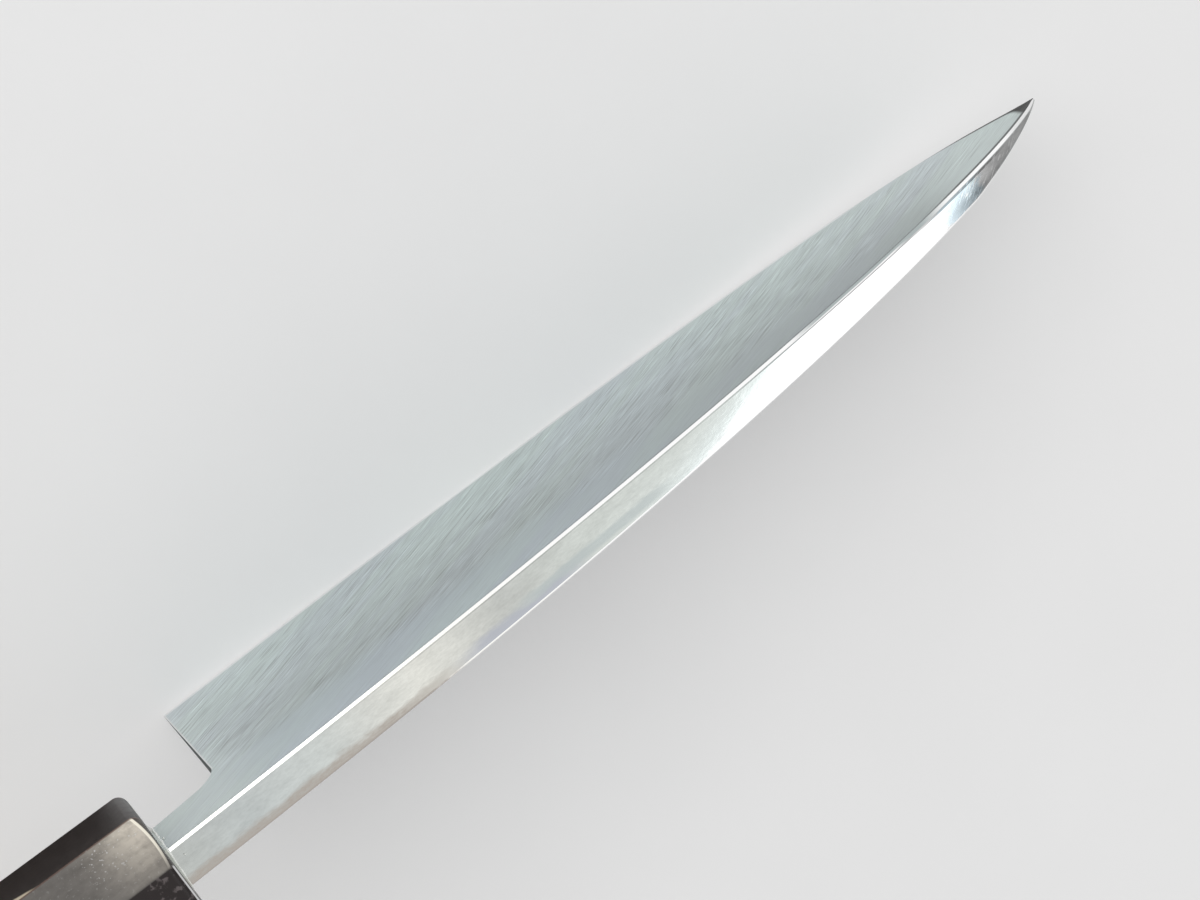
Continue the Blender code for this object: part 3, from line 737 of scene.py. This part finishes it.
def bar_tree():
    """An eight-sided bar along X that tapers in width and height, with its ridges and rims rounded.
    The back rim, the straight run and the front rim take a third of its cross sections each."""
    tree = bpy.data.node_groups.new("eight_sided_bar", "GeometryNodeTree")
    for name in ("Back", "Front", "Width", "Height", "Width Taper", "Height Taper", "Ridge Radius",
                 "Back Rim", "Front Rim"):
        tree.interface.new_socket(name=name, in_out="INPUT", socket_type="NodeSocketFloat")
    tree.interface.new_socket(name="Material", in_out="INPUT", socket_type="NodeSocketMaterial")
    tree.interface.new_socket(name="Bar", in_out="OUTPUT", socket_type="NodeSocketGeometry")
    bar = Graph(tree)
    given = tree.nodes.new("NodeGroupInput")
    get = {socket.name: Socket(bar, socket) for socket in given.outputs if socket.name}

    octagon = bar.node("GeometryNodeCurvePrimitiveCircle", {"mode": "RADIUS"},
                       {"Resolution": SIDES, "Radius": 0.5 / math.cos(math.pi / SIDES)})
    turned = bar.node("GeometryNodeTransform", None,
                      {"Geometry": octagon, "Rotation": (0.0, 0.0, math.pi / SIDES)})
    section = bar.node("GeometryNodeFilletCurve", {"mode": "POLY"},
                       {"Curve": turned, "Count": RIDGE_STEPS, "Radius": get["Ridge Radius"] / get["Width"]})
    line = bar.node("GeometryNodeCurvePrimitiveLine", None, {"End": (1.0, 0.0, 0.0)})
    spine = bar.node("GeometryNodeResampleCurve", {"mode": "COUNT"},
                     {"Curve": line, "Count": 3 * RIM_STEPS + 1})
    tube = bar.node("GeometryNodeCurveToMesh", None,
                    {"Curve": spine, "Profile Curve": section, "Fill Caps": True})

    share, side, rise = bar.parts_of(bar.node("GeometryNodeInputPosition"))
    back_turn = bar.maths("MULTIPLY", share, 3, clamp=True) * (math.pi / 2)
    run = bar.maths("SUBTRACT", share * 3, 1, clamp=True)
    front_turn = bar.maths("SUBTRACT", share * 3, 2, clamp=True) * (math.pi / 2)
    straight = get["Front"] - get["Back"] - get["Back Rim"] - get["Front Rim"]
    x = (get["Back"] + get["Back Rim"] * (1 - bar.maths("COSINE", back_turn)) + run * straight
         + get["Front Rim"] * bar.maths("SINE", front_turn))
    inset = (get["Back Rim"] * (1 - bar.maths("SINE", back_turn))
             + get["Front Rim"] * (1 - bar.maths("COSINE", front_turn)))
    width = get["Width"] - get["Width Taper"] * x - 2 * inset
    height = get["Height"] - get["Height Taper"] * x - 2 * inset
    placed = bar.node("GeometryNodeSetPosition", None,
                      {"Geometry": tube, "Position": bar.vector(x, side * width, rise * height)})
    real = bar.node("GeometryNodeRealizeInstances", None, {0: placed})
    dressed = bar.node("GeometryNodeSetMaterial", None, {"Geometry": real, "Material": get["Material"]})
    bar.feed(tree.nodes.new("NodeGroupOutput").inputs[0], dressed)
    return tree


eight_sided_bar = bar_tree()


def handle_bar(name, back, front, back_rim, front_rim, material):
    """A stretch of the handle's tapered bar, as plain mesh."""
    piece = piece_from(bmesh.new(), name)
    modifier = piece.modifiers.new("bar", "NODES")
    modifier.node_group = eight_sided_bar
    values = {"Back": back, "Front": front, "Width": FRONT_WIDTH, "Height": FRONT_HEIGHT,
              "Width Taper": WIDTH_TAPER, "Height Taper": HEIGHT_TAPER, "Ridge Radius": RIDGE_RADIUS,
              "Back Rim": back_rim, "Front Rim": front_rim, "Material": material}
    for socket in eight_sided_bar.interface.items_tree:
        if socket.in_out == "INPUT":
            modifier[socket.identifier] = values[socket.name]
    settle(piece)
    return piece


def round_bar(name, back, front, radius):
    """A plain cylinder along X, for a bore or a tenon."""
    bm = bmesh.new()
    lie = Matrix.Translation(((back + front) / 2, 0, 0)) @ Matrix.Rotation(math.pi / 2, 4, "Y")
    bmesh.ops.create_cone(bm, cap_ends=True, segments=BORE_SEGMENTS, radius1=radius, radius2=radius,
                          depth=front - back, matrix=lie)
    return piece_from(bm, name)


def neck_ring(x, grow):
    """The neck's rectangle at x, larger by grow on every side."""
    low, high, half = SPINE_HEIGHT - NECK_HEIGHT - grow, SPINE_HEIGHT + grow, BACK_Y + grow
    return [(x, half, low), (x, half, high), (x, -half, high), (x, -half, low)]


STREAK_START = -16.4 * MM
STREAK_OPENING = 0.36


def dark_horn(horn, grain, blotches, on_top):
    """The colour of most facets: near black, with the top one darker as painted shade and with pale
    blotches on it.
    """
    dark = horn.mix((0.008, 0.006, 0.006, 1), (0.034, 0.025, 0.022, 1), grain * 0.5 + blotches * 0.5)
    # Painted shade: the top facet darker
    dark = horn.mix(dark, (0.008, 0.004, 0.004, 1), on_top * 0.7)
    top_blotches = horn.step(horn.clouds(0.9 * MM, 3.0), 0.54, 0.68)
    return horn.mix(dark, (0.09, 0.075, 0.075, 1), top_blotches * on_top)


def horn_painted_sheen(horn, grain, blotches, facet_share):
    """The colour of the facet with the painted sheen: grey-brown, mottled, and lightest at its front
    rim as a painted reflection.
    """
    front = horn.step(horn.x, -18 * MM, -1 * MM)
    light = front ** 3 * (0.15 + 0.85 * facet_share)
    pale = horn.mix((0.135, 0.125, 0.115, 1), (0.68, 0.62, 0.53, 1), light)
    mottle = (grain - 0.5) * 1.1 + (blotches - 0.5) * 1.1
    return horn.mix(pale, (0.07, 0.063, 0.056, 1), 0.2 - mottle)


def blond_streak(horn, below_ridge):
    """Where the streak is that opens towards the grip under the pale facet's lower ridge."""
    opening = (STREAK_START - horn.x) * STREAK_OPENING
    streak = horn.step(below_ridge - opening, 0.5 * MM, -0.3 * MM) * horn.step(below_ridge, 0.0, 0.25 * MM)
    return streak * horn.step(horn.x, STREAK_START, -18.9 * MM) * horn.step(horn.y, 0.0, 5 * MM)


def horn_finish():
    """Horn: dark facets, one made pale as a painted sheen and with flecks, a streak beside it, and a
    painted highlight on the front rims.
    """
    horn = Finish("buffalo_horn", Metallic=0.0, Specular_IOR_Level=0.3)
    across = horn.y * 2 / (FRONT_WIDTH - WIDTH_TAPER * horn.x)
    rise = horn.z * 2 / (FRONT_HEIGHT - HEIGHT_TAPER * horn.x)
    corner = math.tan(math.pi / SIDES)
    back_side, top = rise - corner * across, across - corner * rise
    painted_sheen_facet = horn.step(back_side, -0.02, 0.02) * horn.step(top, -0.02, 0.02)
    grain = horn.noise(horn.vector(horn.x / (14 * MM), horn.y / (2.0 * MM), horn.z / (2.0 * MM)), 4.0, 0.6)
    blotches = horn.clouds(1.5 * MM, 5.0, roughness=0.65)
    flecks = horn.step(horn.clouds(0.4 * MM, 1.0), 0.64, 0.72)

    beside_top = horn.maths("ABSOLUTE", across) - corner * rise
    on_top = horn.step(beside_top, 0.02, -0.02) * horn.step(rise, 0.6, 0.9)
    dark = dark_horn(horn, grain, blotches, on_top)
    facet_share = (across - corner) / (1 - corner)
    pale = horn_painted_sheen(horn, grain, blotches, facet_share)
    bulge = 1 - (2 * facet_share - 1) ** 2
    from_rim = horn.x + (0.72 + 0.42 * facet_share - 0.55 * bulge) * MM
    toward_face = horn.step(from_rim, 0.1 * MM, 0.25 * MM)
    # Painted sheen: one facet made pale grey-brown, lightest at its front, except close to the face
    colour = horn.mix(dark, pale, painted_sheen_facet * (1 - toward_face * 0.9))
    beside_ridge = horn.band(horn.x, -9 * MM, -2.5 * MM, 2 * MM) * horn.step(facet_share, 0.2, 0.8)
    colour = horn.mix(colour, grey(0.62), flecks * painted_sheen_facet * (0.1 + 0.5 * beside_ridge))

    below_ridge = (corner * across - rise) * FRONT_HEIGHT / 2
    colour = horn.mix(colour, (0.62, 0.54, 0.40, 1), blond_streak(horn, below_ridge) * 0.85)
    # Painted highlight: a cream line along the front rim of the facet with the painted sheen
    rim = horn.band(from_rim, -0.12 * MM, 0.10 * MM, 0.14 * MM) * painted_sheen_facet
    colour = horn.mix(colour, (0.92, 0.87, 0.74, 1), rim * horn.step(facet_share, -0.1, 0.5))
    brown = horn.band(below_ridge, -0.05 * MM, 0.15 * MM, 0.25 * MM) * horn.step(horn.y, 0.0, 5 * MM)
    colour = horn.mix(colour, (0.12, 0.06, 0.04, 1), brown * 0.6)
    # Painted highlight along the top facet's front rim
    painted_top_highlight = horn.band(horn.x, -0.30 * MM, -0.14 * MM, 0.08 * MM) * on_top
    colour = horn.mix(colour, grey(0.62), painted_top_highlight)
    return horn.done(colour, 0.2 + 0.25 * blotches, blotches + 0.3 * grain, 0.012 * MM)


ferrule = handle_bar("horn_ferrule", -FERRULE_LENGTH, 0.0, JOINT_RIM, FERRULE_RIM, horn_finish())
slot_rings = [neck_ring(x, RESIN_WALL) for x in (-FERRULE_WALL - MM, MM)]
carve(ferrule, "DIFFERENCE", loft("slot", slot_rings, [0] * 4, 0),
      round_bar("bore", -FERRULE_LENGTH - MM, -FERRULE_WALL, BORE_RADIUS))
finished(ferrule, "ferrule", HANDLE_CREASE)

# The grip
# Pale magnolia wood, sawn and planed to the ferrule's eight sides, with a round tenon turned in
# front and a tapered pocket for the tang. It is sanded fine and left bare.
BUTT_RIM = 1.2 * MM


def wood_finish():
    """Wood: rings round a pith that lies outside the blank, so flats and end grain agree."""
    wood = Finish("magnolia_wood", Specular_IOR_Level=0.35)
    waver = wood.noise(wood.vector(wood.x / (70 * MM), wood.y / (9 * MM), wood.z / (9 * MM)), 3.0)
    from_pith = wood.maths("SQRT", (wood.y - 42 * MM) ** 2 + (wood.z + 30 * MM) ** 2)
    rings = wood.maths("FRACT", from_pith / (2.6 * MM) + waver * 1.6)
    late = wood.step(rings, 0.55, 0.97) * wood.step(rings, 1.0, 0.96)
    fibres = wood.noise(wood.vector(wood.x / (9 * MM), wood.y / (0.22 * MM), wood.z / (0.22 * MM)), 3.0, 0.6)
    pale = wood.mix((0.60, 0.46, 0.29, 1), (0.70, 0.56, 0.37, 1), fibres)
    colour = wood.mix(pale, (0.47, 0.33, 0.19, 1), late * 0.55)
    return wood.done(colour, 0.52 + 0.15 * fibres, fibres, 0.03 * MM)


grip = handle_bar("wooden_grip", -HANDLE_LENGTH, -FERRULE_LENGTH, BUTT_RIM, JOINT_RIM, wood_finish())
carve(grip, "UNION", round_bar("tenon", -FERRULE_LENGTH - MM, -FERRULE_WALL, BORE_RADIUS))
pocket = loft("pocket", [tang_ring(x, RESIN_WALL) for x in (-TANG_LENGTH - MM, 0.0)], [0] * 4, 0)
carve(grip, "DIFFERENCE", pocket)
finished(grip, "grip", HANDLE_CREASE)

# The bedding
# Clear resin, poured round the neck and the tang, which has cured with a low uneven bead where
# the blade leaves the horn, and with a few droplets beside it.
BEAD_LOW, BEAD_HIGH = 0.3 * MM, 0.7 * MM
BEAD_STEPS = 9
BEAD_CONCAVITY = 1.7
RESIN_BITE = 0.02 * MM
RESIN_POINTS = 120
RESIN_CREASE = math.radians(40.0)

# Each droplet's radius and place, in millimetres, and how flat they all lie
DROPLETS = [(0.34, 0.15, 3.5, -6.2), (0.22, 0.93, 3.3, -1.4), (0.30, 0.45, 3.1, 3.6), (0.16, 2.0, 1.2, 3.8)]
DROPLET_SCALE = (0.7, 1.0, 0.8, 1.0)


def bead_height(y):
    """The bead stands highest against the blade's back."""
    return BEAD_LOW + (BEAD_HIGH - BEAD_LOW) * (y + BACK_Y) / (2 * BACK_Y)


def resin_finish():
    """Clear resin, with a painted highlight along the bead's crest."""
    resin = Finish("clear_resin", Coat_Weight=0.6, Coat_Roughness=0.05)
    clouds = resin.clouds(0.8 * MM, 3.0)
    # Painted highlight: the bead's crest made near white
    crest = resin.step(resin.x / bead_height(resin.y), 0.3, 0.7)
    colour = resin.mix((0.36, 0.38, 0.33, 1), (0.92, 0.94, 0.90, 1), crest + (clouds - 0.5) * 0.6)
    return resin.done(colour, 0.12 + 0.1 * clouds, clouds, 0.02 * MM)


def evenly_spaced(corners, count):
    """As many points as asked along the closed line through the corners, evenly spaced."""
    corners = np.array([*corners, corners[0]])
    run = np.concatenate([[0.0], np.cumsum(np.linalg.norm(np.diff(corners, axis=0), axis=1))])
    places = np.linspace(0.0, run[-1], count, endpoint=False)
    return np.stack([np.interp(places, run, corners[:, i]) for i in range(3)], axis=1)


def resin_rings():
    """The sleeve's outside from the tang's end to the bead, and back down its inside."""
    outside = [tang_ring(-TANG_LENGTH - RESIN_WALL, RESIN_WALL), tang_ring(-FERRULE_WALL, RESIN_WALL),
               neck_ring(-FERRULE_WALL, RESIN_WALL), neck_ring(0.0, RESIN_WALL)]
    rings = [evenly_spaced(ring, RESIN_POINTS) for ring in outside]
    for share in np.linspace(0.0, 1.0, BEAD_STEPS)[1:]:
        ring = evenly_spaced(neck_ring(0.0, RESIN_WALL * (1 - share) ** BEAD_CONCAVITY), RESIN_POINTS)
        for point in ring:
            wave = noise.noise(Vector(point) / (1.7 * MM)) + 0.5 * noise.noise(Vector(point) / (0.7 * MM))
            point[0] = bead_height(point[1]) * share * (0.85 + 0.3 * wave)
        rings.append(ring)
    inside = [neck_ring(0.0, -RESIN_BITE), neck_ring(-NECK_IN_FERRULE, -RESIN_BITE),
              tang_ring(-NECK_IN_FERRULE, -RESIN_BITE), tang_ring(-TANG_LENGTH, -RESIN_BITE)]
    return rings + [evenly_spaced(ring, RESIN_POINTS) for ring in inside]


def add_droplets(piece):
    """Drops of resin by the neck, as closed solids of their own."""
    bm = bmesh.new()
    bm.from_mesh(piece.data)
    for radius, *place in DROPLETS:
        lie = Matrix.Translation(Vector(place) * MM) @ Matrix.Diagonal(DROPLET_SCALE)
        bmesh.ops.create_uvsphere(bm, u_segments=16, v_segments=10, radius=radius * MM, matrix=lie)
    bm.to_mesh(piece.data)
    bm.free()


resin = loft("neck_resin", resin_rings(), [0] * RESIN_POINTS, 0)
add_droplets(resin)
resin.data.materials.append(resin_finish())
finished(resin, "tang_bedding", RESIN_CREASE)

# The picture
# A pale table in an evenly lit white room, with a wide soft lamp overhead, one that the chamfer
# mirrors and one that the middle of the spine mirrors. Two matt cards stand for dark parts of a
# room in what polished surfaces mirror: a dark grey one beyond the tip for the spine's end, and
# a black one under the ferrule for its side.
CAMERA_EYE = PLACE + Vector((3.603, 179.75, 544.88)) * MM
CAMERA_AIM = PLACE + Vector((89.18, -0.15, -35.56)) * MM
CAMERA_ROLL = math.radians(118.81)
CAMERA_LENS = 120.0
CAMERA_SENSOR = 36.0
LAMP_TARGET = PLACE + Vector((130, 0, -5)) * MM
TABLE_TONE = 0.80
TABLE_REACH = 6.0
ROOM_LIGHT = 0.8


def lamp(name, direction, distance, size, radiance, colour=(1.0, 1.0, 1.0)):
    """A rectangular lamp that faces the knife, as bright as the radiance says."""
    light = bpy.data.lights.new(name, "AREA")
    light.shape = "RECTANGLE"
    light.size, light.size_y = size
    light.energy = radiance * math.pi * size[0] * size[1]
    light.color = colour
    stand = bpy.data.objects.new(name, light)
    bpy.context.scene.collection.objects.link(stand)
    direction = Vector(direction).normalized()
    stand.location = LAMP_TARGET + direction * distance
    stand.rotation_euler = direction.to_track_quat("Z", "Y").to_euler()


def stage_piece(bm, name, material):
    """A piece of the stage, which isn't part of the knife."""
    piece = piece_from(bm, name)
    piece.data.materials.append(material)
    return piece


def table_finish():
    """Matt pale laminate with a faint cloudiness."""
    table = Finish("pale_table", Specular_IOR_Level=0.1)
    clouds = table.clouds(40 * MM, 4.0)
    return table.done(table.mix(grey(TABLE_TONE - 0.02), grey(TABLE_TONE + 0.02), clouds), 0.9)


def floor():
    bm = bmesh.new()
    bmesh.ops.create_grid(bm, size=TABLE_REACH, matrix=Matrix.Translation((0, 0, cad_low.z)))
    stage_piece(bm, "table", table_finish())


def card(name, corners, tone):
    """A matt card with those corners, in the knife's frame and in millimetres. Only gloss mirrors it."""
    bm = bmesh.new()
    bm.faces.new([bm.verts.new(PLACE + Vector(corner) * MM) for corner in corners])
    matt = Finish(name, Specular_IOR_Level=0.0)
    clouds = matt.clouds(60 * MM)
    stood = stage_piece(bm, name, matt.done(matt.mix(grey(0.8 * tone), grey(1.2 * tone), clouds), 1.0))
    stood.visible_camera = False
    stood.visible_diffuse = False
    stood.visible_shadow = False


def room():
    """Even light from all round, white where the camera, a mirror or glass shows it."""
    world = bpy.data.worlds.new("white_room")
    bpy.context.scene.world = world
    world.use_nodes = True
    sky = Graph(world.node_tree)
    by_camera, by_gloss, by_glass = (sky.node("ShaderNodeLightPath", None, None, i) for i in (0, 3, 6))
    strength = ROOM_LIGHT + (1 - ROOM_LIGHT) * (by_camera + by_gloss + by_glass)
    sky.feed(world.node_tree.nodes["Background"].inputs["Strength"], strength)
    sky.feed(world.node_tree.nodes["Background"].inputs["Color"], (1.0, 1.0, 1.0, 1.0))


def camera():
    data = bpy.data.cameras.new("camera")
    data.sensor_width = CAMERA_SENSOR
    data.lens = CAMERA_LENS
    stand = bpy.data.objects.new("camera", data)
    bpy.context.scene.collection.objects.link(stand)
    stand.location = CAMERA_EYE
    stand.rotation_mode = "QUATERNION"
    look = (CAMERA_AIM - CAMERA_EYE).to_track_quat("-Z", "Y")
    stand.rotation_quaternion = look @ Quaternion((0, 0, 1), CAMERA_ROLL)
    bpy.context.scene.camera = stand


floor_low = (cad_low.z - PLACE.z) / MM + 0.5
floor()
room()
camera()
near, far = TIP_X / MM + 30, TIP_X / MM + 650
card("card_beyond_tip", [(near, 12, floor_low), (near, -30, floor_low), (far, -520, 335),
                         (far, 20, 335)], 0.42)
card("card_under_ferrule", [(-1.5, 12, floor_low), (-1.5, 44, floor_low), (-70, 44, floor_low),
                            (-70, 12, floor_low)], 0.03)
lamp("overhead", (-0.30, 0.50, 0.80), 1.5, (1.2, 1.2), 1.2)
lamp("chamfer_lamp", (0.17, 0.93, 0.28), 0.9, (0.6, 0.3), 0.3, (1.0, 0.99, 0.97))
lamp("spine_lamp", (0.6600, -0.3150, 0.6820), 1.0, (0.60, 0.45), 0.5)
bpy.context.scene.view_settings.view_transform = "Standard"
